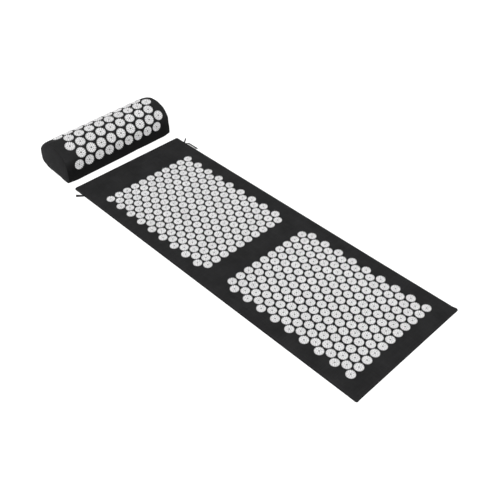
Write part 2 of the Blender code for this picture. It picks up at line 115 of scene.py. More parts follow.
surround = bpy.data.worlds.new("surround")
surround.use_nodes = True
bpy.context.scene.world = surround
sky = surround.node_tree
sky_light = sky.nodes["Background"].inputs
sky_light["Color"].default_value = (1.0, 1.0, 1.0, 1.0)
shown_part = sum_up(sky, 'MULTIPLY', seen_as_background(sky), 1.0-surround_light)
fill(sky, sky_light["Strength"], sum_up(sky, 'ADD', shown_part, surround_light))

floor_material = bpy.data.materials.new("pale_floor")
floor_material.use_nodes = True
tree = floor_material.node_tree
floor_shader = tree.nodes["Principled BSDF"].inputs
floor_shader["Base Color"].default_value = floor_colour
floor_shader["Roughness"].default_value = floor_roughness
floor_shader["Specular IOR Level"].default_value = 0.0
floor_shader["Emission Color"].default_value = (1.0, 1.0, 1.0, 1.0)
fill(tree, floor_shader["Emission Strength"], sum_up(tree, 'MULTIPLY', seen_as_background(tree), floor_glow))

floor_shape = bmesh.new()
bmesh.ops.create_grid(floor_shape, x_segments=1, y_segments=1, size=floor_half_width,
                      matrix=Matrix.Translation((0, 0, -floor_drop)))
floor_mesh = bpy.data.meshes.new("floor")
floor_shape.to_mesh(floor_mesh)
floor_shape.free()
floor_mesh.materials.append(floor_material)
floor = bpy.data.objects.new("floor", floor_mesh)
bpy.context.scene.collection.objects.link(floor)

lamp_data = bpy.data.lights.new("soft_lamp", 'AREA')
lamp_data.shape = 'DISK'
lamp_data.size = lamp_size
lamp_data.energy = lamp_power
lamp = bpy.data.objects.new("soft_lamp", lamp_data)
lamp.matrix_world = (Matrix.Translation(lamp_direction.normalized()*lamp_distance)
                     @ lamp_direction.to_track_quat('Z', 'Y').to_matrix().to_4x4())
bpy.context.scene.collection.objects.link(lamp)


# Mat's foam slab
# A flat slab of soft grey foam, its corners cut round and its edges a little crushed. It lies
# loose between the two covers and fills them.
foam_corner_radius = 0.0300
foam_edge_radius = 0.0030
foam_outline_angle = math.radians(60)
foam_cell = 0.0011
foam_wall_share = 0.22
foam_colour = (0.42, 0.42, 0.44, 1.0)
foam_hollow_shade_colour = (0.20, 0.20, 0.21, 1.0)


def add_piece(name, bm, material, body, flat_angle=None):
    """Turn a bmesh into a piece of the object that rides on a body."""
    mesh = bpy.data.meshes.new(name)
    bm.to_mesh(mesh)
    bm.free()
    mesh.materials.append(material)
    mesh.shade_smooth()
    if flat_angle:
        mesh.set_sharp_from_angle(angle=flat_angle)
    piece = bpy.data.objects.new(name, mesh)
    bpy.context.scene.collection.objects.link(piece)
    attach(piece, body)
    return piece


def new_group(name, inputs, outputs):
    """An empty shader node group, its inputs' sockets and its outputs' sockets."""
    tree = bpy.data.node_groups.new(name, 'ShaderNodeTree')
    for label, kind in inputs:
        tree.interface.new_socket(name=label, in_out='INPUT', socket_type="NodeSocket"+kind)
    for label, kind in outputs:
        tree.interface.new_socket(name=label, in_out='OUTPUT', socket_type="NodeSocket"+kind)
    return tree, tree.nodes.new("NodeGroupInput").outputs, tree.nodes.new("NodeGroupOutput").inputs


def group_node(tree, group, inputs):
    """Place a node group in a material, fill its inputs and give its outputs' sockets."""
    node = tree.nodes.new("ShaderNodeGroup")
    node.node_tree = group
    for key, value in inputs.items():
        fill(tree, node.inputs[key], value)
    return node.outputs


def plain_material(name, roughness, specular):
    """A Principled material, its node tree and its shader's inputs."""
    made = bpy.data.materials.new(name)
    made.use_nodes = True
    shader = made.node_tree.nodes["Principled BSDF"].inputs
    shader["Roughness"].default_value = roughness
    shader["Specular IOR Level"].default_value = specular
    return made, made.node_tree, shader


def object_place(tree):
    """The shaded point in the object's own coordinates."""
    return add_node(tree, "TexCoord", {}).outputs["Object"]


def remap(tree, value, start, end, low=0.0, high=1.0):
    """Carry a value from the range start to end over to the range low to high."""
    node = add_node(tree, "MapRange", {"Value": value, "From Min": start, "From Max": end,
                                       "To Min": low, "To Max": high})
    return node.outputs[0]


def noise(tree, place, scale, detail, roughness=0.5):
    """A cloudy value between 0 and 1."""
    node = add_node(tree, "TexNoise", {"Vector": place, "Scale": scale, "Detail": detail,
                                       "Roughness": roughness})
    return node.outputs["Fac"]


def mix_colour(tree, share, first, second):
    """A colour between two colours."""
    node = add_node(tree, "Mix", {0: share, 6: first, 7: second}, data_type='RGBA')
    return node.outputs[2]


def raise_surface(tree, shader, height, distance):
    """Let a height, from 0 to 1, raise a material's surface by up to a distance."""
    bump = add_node(tree, "Bump", {"Height": height, "Distance": distance, "Strength": 1.0})
    fill(tree, shader["Normal"], bump.outputs["Normal"])


grey_foam, tree, shader = plain_material("grey_foam_finish", roughness=0.95, specular=0.2)
cells = add_node(tree, "TexVoronoi", {"Vector": object_place(tree), "Scale": 1/foam_cell},
                 feature='DISTANCE_TO_EDGE')
wall = remap(tree, cells.outputs["Distance"], 0.0, foam_wall_share)
# The cells' hollows are darker than their walls: painted shade.
fill(tree, shader["Base Color"], mix_colour(tree, wall, foam_colour, foam_hollow_shade_colour))
raise_surface(tree, shader, sum_up(tree, 'SUBTRACT', 1.0, wall), foam_cell/3)

low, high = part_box("mat_foam_core")
slab = bmesh.new()
bmesh.ops.create_cube(slab, size=1.0)
slab_place = Matrix.Translation((low+high)/2) @ Matrix.Diagonal((*(high-low), 1.0))
bmesh.ops.transform(slab, matrix=slab_place, verts=slab.verts)
upright = [edge for edge in slab.edges if edge.verts[0].co.xy == edge.verts[1].co.xy]
bmesh.ops.bevel(slab, geom=upright, offset=foam_corner_radius, affect='EDGES', segments=8,
                profile=0.5, material=-1)
outline = [edge for edge in slab.edges if edge.calc_face_angle() > foam_outline_angle]
bmesh.ops.bevel(slab, geom=outline, offset=foam_edge_radius, affect='EDGES', segments=3,
                profile=0.5, material=-1)
foam_slab = add_piece("mat_foam_slab", slab, grey_foam, "mat")
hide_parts("mat_foam_core")


# Mat's base cover
# The underside of the cover, one panel of black cotton with its edges turned up to the seam at
# half the mat's height. At the head it stops short of the zip.
mat_half_width = 0.240
mat_half_length = 0.650
mat_thickness = 0.015
corner_radius = 0.005
head_left_ear = 0.0022
head_right_ear = -0.0010
foot_ear = 0.0032
foot_curl = 0.0034
head_ear_reach = 0.007
foot_ear_reach = 0.013
corner_pinch_share = 0.12
hem_inset = 0.0065
hem_dip = 0.0004
edge_round_width = 0.0040
edge_profile = ((0.0012, 0.0009), (0.0, 0.0030))
seam_height = mat_thickness/2
seam_gap = 0.0003
cloth_thickness = 0.0009
panel_cell = 0.010
zip_window = 0.0032
zip_left_end = 0.594
zip_right_end = 0.606
cotton_colour = (0.0138, 0.0138, 0.0142, 1.0)
cotton_light_colour = (0.0235, 0.0235, 0.0242, 1.0)
lint_colour = (0.060, 0.060, 0.062, 1.0)
cotton_roughness = 0.92
cotton_specular = 0.12
cotton_thread = 0.0009
tape_thread = 0.0006
thread_wobble = 0.5
slub_thinness = 0.03
lint_scale = 420.0
lint_range = (0.62, 0.80)
lint_strength = 0.5
fading_scale = 14.0
streak_range = (0.15, 0.36)
thread_gloss = 0.08

# Threads over and under one another, for every cloth and tape. A wave texture of scale 1 turns
# by 20 radians a unit, and each thread takes half a turn.
weave, given, result = new_group("plain_weave", [("Cut", "Vector"), ("Threads", "Float")],
                                 [("Height", "Float"), ("Slub", "Float")])
wave_scale = sum_up(weave, 'MULTIPLY', given["Threads"], math.pi/20)
bands = {"Vector": given["Cut"], "Scale": wave_scale, "Distortion": thread_wobble}
warp = add_node(weave, "TexWave", bands, bands_direction='X').outputs["Fac"]
weft = add_node(weave, "TexWave", bands, bands_direction='Y').outputs["Fac"]
half_threads = sum_up(weave, 'MULTIPLY', given["Threads"], 0.5)
over = add_node(weave, "TexChecker", {"Vector": given["Cut"], "Scale": half_threads}).outputs["Fac"]
crossing = add_node(weave, "Mix", {0: over, 2: warp, 3: weft}, data_type='FLOAT').outputs[0]
fill(weave, result["Height"], crossing)
slubs = []
for stretch in ((1.0, slub_thinness, 1.0), (slub_thinness, 1.0, 1.0)):
    along = add_node(weave, "Mapping", {"Vector": given["Cut"], "Scale": stretch}).outputs[0]
    slubs.append(noise(weave, along, half_threads, detail=1.0))
fill(weave, result["Slub"], sum_up(weave, 'MULTIPLY', sum_up(weave, 'ADD', *slubs), 0.5))

# Fluff and fading that dark cloth gathers
lint, given, result = new_group("lint", [("Cut", "Vector")], [("Specks", "Float"), ("Fading", "Float")])
specks = noise(lint, given["Cut"], lint_scale, detail=3.0, roughness=0.7)
fill(lint, result["Specks"], remap(lint, specks, *lint_range))
fill(lint, result["Fading"], noise(lint, given["Cut"], fading_scale, detail=4.0, roughness=0.6))


def cotton_material(name, painted_shade_height=0.0, low_painted_shade=1.0):
    """Woven cotton that follows the piece's own cut, with slubs, fading and lint.

    Below a given height the colour is darkened towards the bottom: painted shade.
    """
    made, tree, shader = plain_material(name, cotton_roughness, cotton_specular)
    cut = add_node(tree, "UVMap", {}, uv_map="cut").outputs["UV"]
    woven = group_node(tree, weave, {"Cut": cut, "Threads": 1/cotton_thread})
    fluff = group_node(tree, lint, {"Cut": cut})
    streaks = remap(tree, sum_up(tree, 'MULTIPLY', woven["Slub"], fluff["Fading"]), *streak_range)
    tone_and_painted_light = mix_colour(tree, streaks, cotton_colour, cotton_light_colour)
    linty = sum_up(tree, 'MULTIPLY', fluff["Specks"], lint_strength)
    tone_and_painted_light = mix_colour(tree, linty, tone_and_painted_light, lint_colour)
    if painted_shade_height:
        height = add_node(tree, "SeparateXYZ", {0: object_place(tree)}).outputs["Z"]
        painted_low_shade = remap(tree, height, painted_shade_height/2, painted_shade_height, low_painted_shade)
        tone_and_painted_light = add_node(tree, "VectorMath", {0: tone_and_painted_light, 3: painted_low_shade}, operation='SCALE').outputs[0]
    fill(tree, shader["Base Color"], tone_and_painted_light)
    rough = remap(tree, woven["Height"], 0.0, 1.0, cotton_roughness, cotton_roughness-thread_gloss)
    fill(tree, shader["Roughness"], rough)
    raise_surface(tree, shader, woven["Height"], cotton_thread/6)
    return made


black_cotton = cotton_material("black_cotton_finish")


def edge_frame(spot):
    """The nearest point of the mat's inner rectangle and the way out of the mat from there."""
    reach_x = mat_half_width-corner_radius
    reach_y = mat_half_length-corner_radius
    anchor = Vector((max(-reach_x, min(reach_x, spot.x)), max(-reach_y, min(reach_y, spot.y))))
    return anchor, (spot.xy-anchor).normalized()


def beside_zip(spot):
    """Whether a point of the mat's edge borders the zip's window."""
    if abs(spot.x) < mat_half_width-corner_radius:
        return spot.y > 0
    return spot.y > (zip_left_end if spot.x < 0 else zip_right_end)-panel_cell/2


def pulled_corner(spot):
    """Where a point of the cover lies once the corners are pinched and pulled, at the foot also up."""
    away = Vector((mat_half_width-abs(spot.x), mat_half_length-abs(spot.y))).length
    at_head = spot.y > 0
    share = math.exp(-(away/(head_ear_reach if at_head else foot_ear_reach))**2)
    height = seam_height+(spot.z-seam_height)*(1-corner_pinch_share*share)
    if at_head:
        pull = share*(head_left_ear if spot.x < 0 else head_right_ear)
    else:
        pull = share*foot_ear
        height += share*foot_curl
    return Vector((spot.x+math.copysign(pull, spot.x), spot.y+math.copysign(pull, spot.y), height))


def lay_out(bm, flat_place):
    """Give each face's corners their place on the flat cloth, which the weave follows."""
    cut = bm.loops.layers.uv.new("cut")
    for face in bm.faces:
        for corner in face.loops:
            corner[cut].uv = flat_place(corner.vert.co)
    return cut


def next_rim(bm, rim):
    """Grow new faces from a rim of open edges, and give the edges of the new rim."""
    made = bmesh.ops.extrude_edge_only(bm, edges=rim)["geom"]
    return [item for item in made if isinstance(item, bmesh.types.BMEdge) and item.is_boundary]


def on_hem(spot):
    """Whether a point of the top cover lies on the line of the hem's stitches."""
    off_x = mat_half_width-hem_inset-abs(spot.x)
    off_y = mat_half_length-hem_inset-abs(spot.y)
    return abs(min(off_x, off_y)) < seam_gap


def mat_panel(face_height, way):
    """A flat panel of the mat's cover, its edge turned over the foam to the seam or the zip."""
    bm = bmesh.new()
    reach_x = mat_half_width-edge_round_width
    reach_y = mat_half_length-edge_round_width
    bmesh.ops.create_grid(bm, x_segments=round(2*reach_x/panel_cell), y_segments=round(2*reach_y/panel_cell),
                          size=1.0)
    bmesh.ops.scale(bm, vec=(reach_x, reach_y, 1.0), verts=bm.verts)
    bmesh.ops.translate(bm, vec=(0, 0, face_height), verts=bm.verts)
    hem_corner = Vector((mat_half_width-hem_inset, mat_half_length-hem_inset, 0))
    for line in (Vector((1, 0, 0)), Vector((-1, 0, 0)), Vector((0, 1, 0)), Vector((0, -1, 0))):
        bmesh.ops.bisect_plane(bm, geom=[*bm.verts, *bm.edges, *bm.faces], plane_no=line,
                               plane_co=line*abs(line.dot(hem_corner)))
    for vert in bm.verts:
        if way > 0 and on_hem(vert.co):
            vert.co.z -= hem_dip
        anchor, outward = edge_frame(vert.co)
        if outward.x and outward.y:
            offset = vert.co.xy-anchor
            vert.co.xy = anchor+outward*max(abs(offset.x), abs(offset.y))
    rim = [edge for edge in bm.edges if edge.is_boundary]
    seam_drop = seam_height-seam_gap/2
    for inset, drop in (*edge_profile, (0.0, seam_drop)):
        rim = next_rim(bm, rim)
        for vert in {vert for edge in rim for vert in edge.verts}:
            anchor, outward = edge_frame(vert.co)
            vert.co.xy = anchor+outward*(corner_radius-inset)
            depth = min(drop, seam_height-zip_window) if beside_zip(vert.co) else drop
            vert.co.z = face_height-way*depth
    lay_out(bm, lambda spot: spot.xy+edge_frame(spot)[1]*abs(spot.z-face_height))
    for vert in bm.verts:
        vert.co = pulled_corner(vert.co)
    bmesh.ops.recalc_face_normals(bm, faces=bm.faces)
    bm.faces.ensure_lookup_table()
    if bm.faces[0].normal.z*way < 0:
        bmesh.ops.reverse_faces(bm, faces=bm.faces)
    return bm


def smooth_out(piece):
    """Divide a piece's faces once and smooth them."""
    finer = piece.modifiers.new("smooth", 'SUBSURF')
    finer.levels = 1
    finer.render_levels = 1


def thicken(piece):
    """Give a cloth panel its thickness, inwards."""
    wall = piece.modifiers.new("cloth", 'SOLIDIFY')
    wall.thickness = cloth_thickness
    wall.offset = -1.0


base_panel = mat_panel(0.0, -1)
mat_base = add_piece("mat_base_panel", base_panel, black_cotton, "mat")
smooth_out(mat_base)
thicken(mat_base)
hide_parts("mat_base_cover")


# Mat's top cover
# The upper panel of the same black cotton. The discs hold it down in two fields, and the foam
# pushes it up softly between them and in the open margins.
disc_pitch = 0.0360
row_pitch = 0.0288
rows_in_field = 18
long_row = 11
disc_radius = 0.0154
field_gap = 0.1092
foot_side_shift = 0.0038
cloth_frames = 20
cloth_quality = 6
cloth_weight = 0.25
cloth_stiffness = 12
cloth_bending = 0.4
top_pressure = 1.4
top_slack = 0.004
top_most_rise = 0.0016


def mat_field_places(middle, first_row_y, first_count):
    """Centres of one field's discs, row by row from its head end."""
    places = []
    for row in range(rows_in_field):
        count = first_count if row % 2 == 0 else 2*long_row-1-first_count
        for step in range(count):
            places.append(Vector((middle+(step-(count-1)/2)*disc_pitch, first_row_y-row*row_pitch)))
    return places


low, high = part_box("mat_disc_01")
head_row_y = (low.y+high.y)/2
foot_row_y = head_row_y-(rows_in_field-1)*row_pitch-field_gap
field_middle = (low.x+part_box(f"mat_disc_{long_row}")[1].x)/2
head_places = mat_field_places(field_middle, head_row_y, long_row)
foot_places = mat_field_places(field_middle+foot_side_shift, foot_row_y, long_row-1)


def swell(piece, held, pressure, slack, most_rise):
    """Let the foam press a cloth panel out between the places that hold it, and keep that shape.

    A copy is swollen, its edges and faces sorted, because bmesh leaves them in another order
    each run and the folds depend on it.
    """
    home = [vert.co.copy() for vert in piece.data.vertices]
    faces = []
    for face in piece.data.polygons:
        corners = list(face.vertices)
        first = corners.index(min(corners))
        faces.append(corners[first:]+corners[:first])
    mesh = bpy.data.meshes.new("swelling_copy")
    mesh.from_pydata(home, sorted(sorted(edge.vertices) for edge in piece.data.edges), sorted(faces))
    copy = bpy.data.objects.new("swelling_copy", mesh)
    bpy.context.scene.collection.objects.link(copy)
    copy.vertex_groups.new(name="held").add(held, 1.0, 'REPLACE')
    cloth = copy.modifiers.new("swell", 'CLOTH')
    cloth.settings.quality = cloth_quality
    cloth.settings.mass = cloth_weight
    cloth.settings.tension_stiffness = cloth_stiffness
    cloth.settings.compression_stiffness = cloth_stiffness
    cloth.settings.bending_stiffness = cloth_bending
    cloth.settings.use_pressure = True
    cloth.settings.uniform_pressure_force = pressure
    cloth.settings.shrink_min = -slack
    cloth.settings.vertex_group_mass = "held"
    cloth.settings.effector_weights.gravity = 0.0
    cloth.point_cache.frame_start = 1
    cloth.point_cache.frame_end = cloth_frames
    for step in range(1, cloth_frames+1):
        bpy.context.scene.frame_set(step)
    swollen = copy.evaluated_get(bpy.context.evaluated_depsgraph_get()).to_mesh()
    moved = [vert.co.copy() for vert in swollen.vertices]
    bpy.data.objects.remove(copy)
    bpy.data.meshes.remove(mesh)
    for vert, start, end in zip(piece.data.vertices, home, moved):
        shift = end-start
        vert.co = start+shift*min(1.0, most_rise/max(shift.length, most_rise/10))
    bpy.context.scene.frame_set(1)


top_panel = mat_panel(mat_thickness, 1)
mat_top = add_piece("mat_top_panel", top_panel, black_cotton, "mat")
held = []
for vert in mat_top.data.vertices:
    on_edge = vert.co.z < mat_thickness-seam_gap
    under_disc = any((vert.co.xy-place).length < disc_radius for place in head_places+foot_places)
    if on_edge or on_hem(vert.co) or under_disc:
        held.append(vert.index)
swell(mat_top, held, top_pressure, top_slack, top_most_rise)
smooth_out(mat_top)
thicken(mat_top)
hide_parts("mat_top_cover")


# Discs of the mat
# Two fields of moulded off-white plastic discs, pressed onto the top cover. Each is a thin
# plate with a centre hole, an outer and an inner ring of spikes and a tapered rim. Each has
# painted shade between its spikes, round its hole and on its rim's tapered side, and a
# painted highlight on its spike tips.
plate_height = 0.0016
plate_taper = 0.93
spike_height = 0.0033
spike_tip_share = 0.30
spike_width = 0.0017
hole_radius = 0.0022
rim_sides = 16
spike_rings = ((0.87, 14), (0.52, 8))
disc_seat = 0.0003
disc_shade_spread = 0.06
disc_tilt = math.radians(2.0)
tip_height_share = 0.9
spike_tip_painted_highlight = 1.13
plastic_roughness = 0.42
plastic_specular = 0.5
plastic_colour = (0.875, 0.87, 0.875, 1.0)
plastic_painted_shade_colour = (0.16, 0.16, 0.16, 1.0)
hollow_share = 0.22
rim_foot_painted_shade = 0.04
rim_foot_share = 0.975
grime_scale = 260.0
grime_relief = 0.00005
grime_roughness_spread = 0.10
painted_shade_least = 0.30
mottle_range = (0.35, 0.65)
mottle_shade_range = (0.90, 1.09)
painted_shade_cosine_range = (0.4, -0.9)
painted_shade_ring_offset = 0.04
painted_shade_ring_range = (0.16, 0.06)


def spiked_disc(radius, plate, spike, hole, width):
    """One moulded disc at the origin, underside at z = 0, its spikes up."""
    bm = bmesh.new()
    bmesh.ops.create_circle(bm, segments=rim_sides, radius=radius, cap_ends=True)
    raised = bmesh.ops.extrude_face_region(bm, geom=bm.faces[:])["geom"]
    top_verts = [item for item in raised if isinstance(item, bmesh.types.BMVert)]
    bmesh.ops.translate(bm, verts=top_verts, vec=(0, 0, plate))
    bmesh.ops.scale(bm, verts=top_verts, vec=(plate_taper, plate_taper, 1.0))
    caps = sorted(bm.faces, key=lambda face: face.calc_center_median().z)
    bottom, top = caps[0], caps[-1]
    flat_share = math.cos(math.pi/rim_sides)
    bmesh.ops.inset_region(bm, faces=[top], thickness=(radius*plate_taper-hole)*flat_share)
    bmesh.ops.inset_region(bm, faces=[bottom], thickness=(radius-hole)*flat_share)
    loops = list(top.edges)+list(bottom.edges)
    bmesh.ops.delete(bm, geom=[top, bottom], context='FACES_ONLY')
    bmesh.ops.bridge_loops(bm, edges=loops)
    for share, count in spike_rings:
        for step in range(count):
            turn = Matrix.Rotation(2*math.pi*step/count, 4, 'Z')
            place = turn @ Matrix.Translation((radius*share, 0, plate+spike/2-seam_gap))
            bmesh.ops.create_cone(bm, cap_ends=True, segments=3, radius1=width,
                                  radius2=width*spike_tip_share, depth=spike, matrix=place)
    bmesh.ops.recalc_face_normals(bm, faces=bm.faces)
    spot = bm.loops.layers.uv.new("disc")
    for face in bm.faces:
        for loop in face.loops:
            loop[spot].uv = loop.vert.co.xy/radius
    mesh = bpy.data.meshes.new("spiked_disc")
    bm.to_mesh(mesh)
    bm.free()
    return mesh


def disc_field(name, disc, places, body, seed):
    """A field of like discs, each turned, tilted and toned a little by chance, with a painted highlight on
    its spike tips.
    """
    chance = random.Random(seed)
    tip_height = max(vert.co.z for vert in disc.vertices)*tip_height_share
    bm = bmesh.new()
    tone_and_painted_light = bm.verts.layers.float.new("tone_and_painted_light")
    for place in places:
        first = len(bm.verts)
        bm.from_mesh(disc)
        bm.verts.ensure_lookup_table()
        verts = bm.verts[first:]
        tone = 1.0-disc_shade_spread*chance.random()
        spin = Matrix.Rotation(chance.uniform(0, 2*math.pi), 4, 'Z')
        tilt = Matrix.Rotation(chance.uniform(-disc_tilt, disc_tilt), 4, 'X')
        for vert in verts:
            # Spike tips get a painted highlight on top of the disc's random tone.
            vert[tone_and_painted_light] = tone*spike_tip_painted_highlight if vert.co.z > tip_height else tone
        bmesh.ops.transform(bm, matrix=place @ tilt @ spin, verts=verts)
    return add_piece(name, bm, white_plastic, body, flat_angle=math.radians(38))


white_plastic, tree, shader = plain_material("white_plastic_finish", plastic_roughness, plastic_specular)
spot = add_node(tree, "UVMap", {}, uv_map="disc").outputs["UV"]
reach = add_node(tree, "VectorMath", {0: spot}, operation='LENGTH').outputs["Value"]
parts = add_node(tree, "SeparateXYZ", {0: spot}).outputs
angle = sum_up(tree, 'ARCTAN2', parts["Y"], parts["X"])
grime_and_shade_noise = noise(tree, object_place(tree), grime_scale, detail=3.0)

# Painted shade between the spikes of each ring, varied by a noise, and in the hollow round the hole
painted_shade = 0.0
for share, count in spike_rings:
    turns = sum_up(tree, 'COSINE', sum_up(tree, 'MULTIPLY', angle, float(count)))
    between = remap(tree, turns, *painted_shade_cosine_range)
    off_ring = sum_up(tree, 'ABSOLUTE', sum_up(tree, 'SUBTRACT', reach, share-painted_shade_ring_offset))
    near_ring = remap(tree, off_ring, *painted_shade_ring_range)
    painted_shade = sum_up(tree, 'MAXIMUM', painted_shade, sum_up(tree, 'MULTIPLY', between, near_ring))
painted_shade = sum_up(tree, 'MULTIPLY', painted_shade, sum_up(tree, 'ADD', grime_and_shade_noise, painted_shade_least))
painted_shade = sum_up(tree, 'MAXIMUM', painted_shade, remap(tree, reach, hollow_share, hollow_share/2))
# Each disc's random tone, with the painted highlight on its spike tips
tone = add_node(tree, "Attribute", {}, attribute_name="tone_and_painted_light").outputs["Fac"]
# The rim's tapered side is darkened: painted shade.
tone = sum_up(tree, 'MULTIPLY', tone, remap(tree, reach, plate_taper, rim_foot_share, 1.0, rim_foot_painted_shade))
tone = sum_up(tree, 'MULTIPLY', tone, remap(tree, grime_and_shade_noise, *mottle_range, *mottle_shade_range))
colour = mix_colour(tree, painted_shade, plastic_colour, plastic_painted_shade_colour)
shaded = add_node(tree, "VectorMath", {0: colour, 3: tone}, operation='SCALE').outputs[0]
fill(tree, shader["Base Color"], shaded)
rough = remap(tree, grime_and_shade_noise, 0.0, 1.0, plastic_roughness-grime_roughness_spread,
              plastic_roughness+grime_roughness_spread)
fill(tree, shader["Roughness"], rough)
raise_surface(tree, shader, grime_and_shade_noise, grime_relief)

mat_disc = spiked_disc(disc_radius, plate_height, spike_height, hole_radius, spike_width)
for name, places, seed in (("mat_disc_field_head", head_places, 1), ("mat_disc_field_foot", foot_places, 2)):
    lifted = [Matrix.Translation((*place, mat_thickness+disc_seat)) for place in places]
    field = disc_field(name, mat_disc, lifted, "mat", seed)
    if places is head_places:
        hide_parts(*[f"mat_disc_{number:02d}" for number in range(1, long_row+1)])


# Seam round the mat
# The two covers are sewn face to face and turned, which leaves a thin raised line at half
# height. It runs round the foot from one end of the zip to the other.
seam_radius = 0.0007
seam_inset = 0.0004
corner_steps = 6


def thread_line(name, points, radius, material, body, closed=False):
    """A thin round line of sewn cloth or thread through points."""
    line = bpy.data.curves.new(name, 'CURVE')
    line.dimensions = '3D'
    line.bevel_depth = radius
    line.bevel_resolution = 1
    line.use_fill_caps = not closed
    spline = line.splines.new('POLY')
    spline.points.add(len(points)-1)
    for target, point in zip(spline.points, points):
        target.co = (*point, 1.0)
    spline.use_cyclic_u = closed
    holder = bpy.data.objects.new(name+"_line", line)
    mesh = bpy.data.meshes.new_from_object(holder)
    bpy.data.objects.remove(holder)
    bpy.data.curves.remove(line)
    bm = bmesh.new()
    bm.from_mesh(mesh)
    bpy.data.meshes.remove(mesh)
    bm.loops.layers.uv.remove(bm.loops.layers.uv.verify())
    lay_out(bm, lambda spot: (spot.x+spot.z, spot.y+spot.z))
    return add_piece(name, bm, material, body)


def mat_edge_line(start_y, end_y, inset, height):
    """Points along the mat's edge from the left side round the foot to the right side."""
    core = mat_half_width-corner_radius
    reach = mat_half_length-corner_radius
    points = [Vector((-mat_half_width+inset, start_y, height))]
    for side, first in ((-1, math.pi), (1, 1.5*math.pi)):
        for step in range(corner_steps+1):
            turn = first+0.5*math.pi*step/corner_steps
            outward = Vector((math.cos(turn), math.sin(turn), 0))
            points.append(Vector((side*core, -reach, height))+outward*(corner_radius-inset))
    points.append(Vector((mat_half_width-inset, end_y, height)))
    return [pulled_corner(point) for point in points]


seam_points = mat_edge_line(zip_left_end, zip_right_end, seam_inset, seam_height)
thread_line("mat_edge_seam", seam_points, seam_radius, black_cotton, "mat")


# Zip round the mat's head
# Two woven tapes lie behind the edges of the covers, and the closed coils of black nylon
# stand in the slit between them. A row of stitches above and below holds the tapes.
coil_pitch = 0.0014
coil_wire = 0.00052
coil_wire_swell = 1.15
coil_half_width = 0.0017
coil_overlap = 0.0004
coil_stand_out = 0.0005
coil_core_depth = 0.0009
coil_core_radius = 0.0008
stitch_pitch = 0.0040
stitch_length = 0.0030
stitch_radius = 0.00028
stitch_offset = 0.0041
tape_colour = (0.010, 0.010, 0.0105, 1.0)
tape_light_colour = (0.018, 0.018, 0.0185, 1.0)
nylon_colour = (0.016, 0.016, 0.017, 1.0)
nylon_light_colour = (0.030, 0.030, 0.031, 1.0)
scuff_range = (0.45, 0.75)
scuff_roughness_spread = 0.12


def tape_material():
    """Woven polyester tape, its threads upright and along the zip on every side of the object."""
    made, tree, shader = plain_material("zip_tape_finish", roughness=0.85, specular=0.2)
    parts = add_node(tree, "SeparateXYZ", {0: object_place(tree)}).outputs
    along = sum_up(tree, 'ADD', parts["X"], parts["Y"])
    cut = add_node(tree, "CombineXYZ", {"X": along, "Y": parts["Z"]}).outputs[0]
    woven = group_node(tree, weave, {"Cut": cut, "Threads": 1/tape_thread})
    # The raised threads are lighter and the hollows between them darker: painted shade of the weave.
    fill(tree, shader["Base Color"], mix_colour(tree, woven["Height"], tape_colour, tape_light_colour))
    raise_surface(tree, shader, woven["Height"], tape_thread/5)
    return made


def worn_material(name, dark, light, roughness, specular, grain):
    """A hard black finish with fine scuffs, for nylon, thread and lacquered castings."""
    made, tree, shader = plain_material(name, roughness, specular)
    scuffs = noise(tree, object_place(tree), 1/grain, detail=5.0, roughness=0.65)
    fill(tree, shader["Base Color"], mix_colour(tree, remap(tree, scuffs, *scuff_range), dark, light))
    rough = remap(tree, scuffs, 0.0, 1.0, roughness-scuff_roughness_spread,
                  roughness+scuff_roughness_spread)
    fill(tree, shader["Roughness"], rough)
    raise_surface(tree, shader, scuffs, grain/40)
    return made


def finish_nodes(material, *nodes):
    """Give CAD nodes that stay their finish."""
    for name in nodes:
        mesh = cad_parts[name].data
        mesh.materials.clear()
        mesh.materials.append(material)


zip_tape = tape_material()
zip_nylon = worn_material("zip_nylon_finish", nylon_colour, nylon_light_colour,
                          roughness=0.45, specular=0.4, grain=0.0020)
stitch_thread = worn_material("stitch_thread_finish", tape_light_colour, nylon_light_colour,
                              roughness=0.60, specular=0.3, grain=0.0008)
finish_nodes(zip_tape, "mat_zip_upper_tape", "mat_zip_lower_tape")


def head_edge(distance):
    """A point of the mat's edge, level with the seam, and the way out from there.

    The distance counts from the zip's right end, round the head to its left end.
    """
    core_x = mat_half_width-corner_radius
    core_y = mat_half_length-corner_radius
    arc = 0.5*math.pi*corner_radius
    lengths = (core_y-zip_right_end, arc, 2*core_x, arc, core_y-zip_left_end)
    stretch = 0
    while stretch < 4 and distance > lengths[stretch]:
        distance -= lengths[stretch]
        stretch += 1
    turn = (stretch+stretch % 2)/4*math.pi-(0.5*math.pi if stretch % 2 else 0.0)
    turn += distance/corner_radius if stretch % 2 else 0.0
    outward = Vector((math.cos(turn), math.sin(turn), 0.0))
    anchors = ((core_x, zip_right_end+distance), (core_x, core_y), (core_x-distance, core_y),
               (-core_x, core_y), (-core_x, core_y-distance))
    return pulled_corner(Vector((*anchors[stretch], seam_height))+outward*corner_radius), outward


def zip_coils(name, edge, length, body):
    """The closed coils of a zip along an edge: heads of both sides in turn over their cores."""
    bm = bmesh.new()
    width = coil_half_width+coil_overlap
    for step in range(int(length/coil_pitch)):
        for late, side in ((0.25, 1), (0.75, -1)):
            spot, outward = edge((step+late)*coil_pitch)
            spot = spot+outward*(coil_stand_out-coil_wire)+Vector((0, 0, side*(coil_half_width-width/2)))
            swells = (coil_wire_swell, 1.0) if side > 0 else (1.0, coil_wire_swell)
            bmesh.ops.create_cone(bm, cap_ends=True, segments=6, radius1=coil_wire*swells[0],
                                  radius2=coil_wire*swells[1], depth=width, matrix=Matrix.Translation(spot))
    coils = add_piece(name, bm, zip_nylon, body, flat_angle=math.radians(50))
    for side, word in ((1, "upper"), (-1, "lower")):
        cords = []
        for step in range(int(length/coil_pitch/2)+1):
            spot, outward = edge(min(2*step*coil_pitch, length))
            cords.append(spot-outward*coil_core_depth+Vector((0, 0, side*coil_half_width/2)))
        thread_line(f"{name}_{word}_core", cords, coil_core_radius, zip_nylon, body)
    return coils


